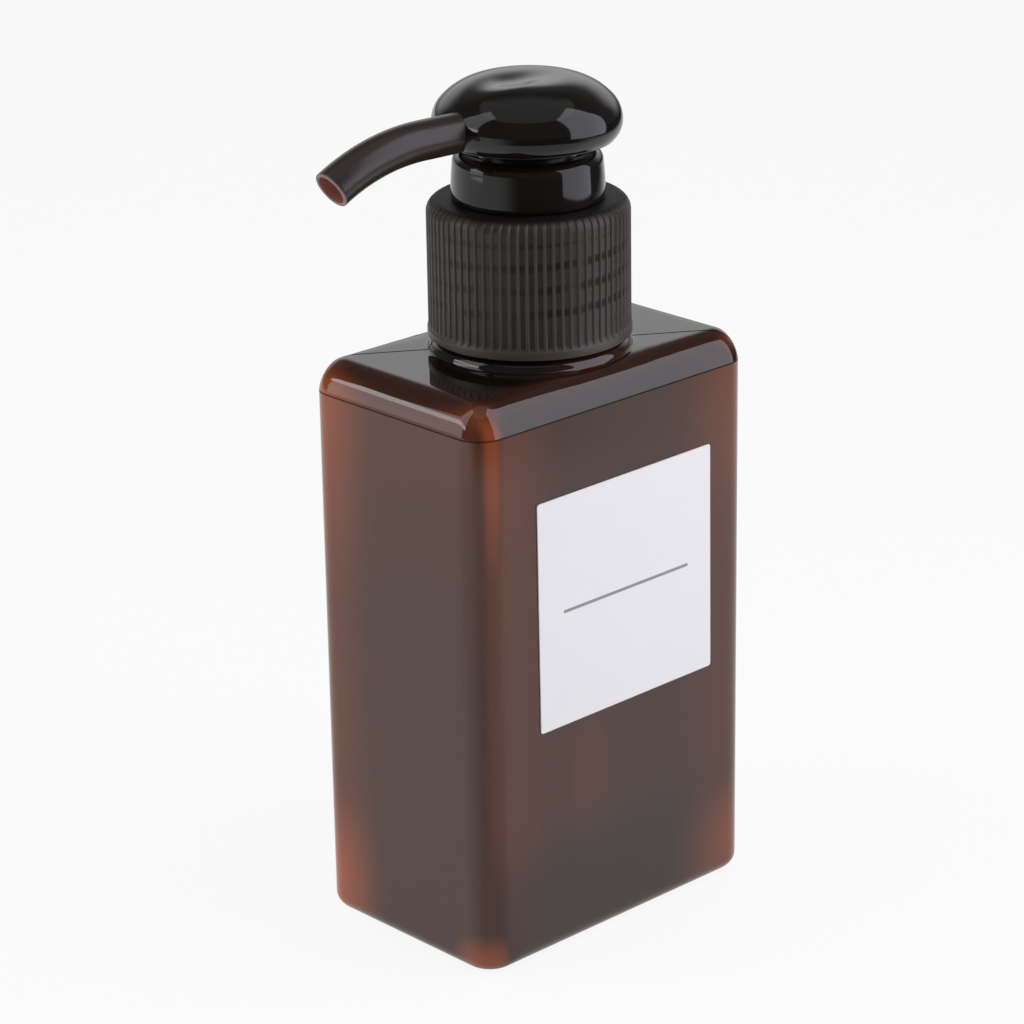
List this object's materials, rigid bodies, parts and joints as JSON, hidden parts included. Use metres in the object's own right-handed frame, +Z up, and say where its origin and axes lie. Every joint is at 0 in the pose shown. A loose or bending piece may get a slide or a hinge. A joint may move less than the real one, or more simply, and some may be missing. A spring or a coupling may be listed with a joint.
{
  "type": "pump oil bottle",
  "caption": "Rounded rectangular amber bottle with a square white label and a lock-down lotion pump: ribbed screw collar, domed head and a nozzle that bends down.",
  "frame": {"origin": "middle of the bottle's base, on the plane it stands on", "axes": "+Z up along the pump's axis, -Y out of the label's face, -X about the way the nozzle points at rest"},
  "size_m": [0.0587, 0.0338, 0.1172],
  "materials": {
    "amber_petg": "clear amber, polished",
    "label_paper": "smooth coated white",
    "pump_gloss": "polished brown black",
    "collar_satin": "satin brown black",
    "pump_brown": "dark brown, moulded",
    "seal_soft": "soft white",
    "gasket_foam": "foamed white",
    "spring_steel": "drawn wire",
    "ball_steel": "polished",
    "tube_tinted": "brown tinted, extruded"
  },
  "bodies": {
    "bottle": {"bottle_body": "amber_petg", "front_label": "label_paper"},
    "pump_module": {"pump_housing": "pump_brown", "lock_chaplet": "pump_gloss", "neck_gasket": "gasket_foam", "dip_tube": "tube_tinted", "return_spring": "spring_steel", "ball_cage": "pump_brown"},
    "collar": {"screw_collar": "collar_satin"},
    "piston": {"piston_seal": "seal_soft"},
    "head": {"head_dome": "pump_gloss", "spout_body": "pump_gloss", "piston_stem": "pump_brown", "valve_plunger": "pump_brown"},
    "ball": {"check_ball": "ball_steel"}
  },
  "joints": [
    {"name": "pump_lift", "type": "slide", "parent": "bottle", "child": "pump_module", "axis": [0, 0, 1], "range_m": [0, 0.00477]},
    {"name": "collar_turn", "type": "hinge", "parent": "pump_module", "child": "collar", "pos_m": [0, 0, 0.09], "axis": [0, 0, 1], "range_deg": [0, 540]},
    {"name": "head_rise", "type": "slide", "parent": "pump_module", "child": "piston", "axis": [0, 0, 1], "range_m": [0, 0.0115], "deforming": ["return_spring"]},
    {"name": "head_swivel", "type": "hinge", "parent": "piston", "child": "head", "pos_m": [0, 0, 0.105], "axis": [0, 0, 1], "continuous": true},
    {"name": "ball_lift", "type": "slide", "parent": "pump_module", "child": "ball", "axis": [0, 0, 1], "range_m": [0, 0.001]}
  ],
  "couplings": [
    {"joint": "pump_lift", "follows": "collar_turn", "m_per_rad": 0.00050532}
  ]
}
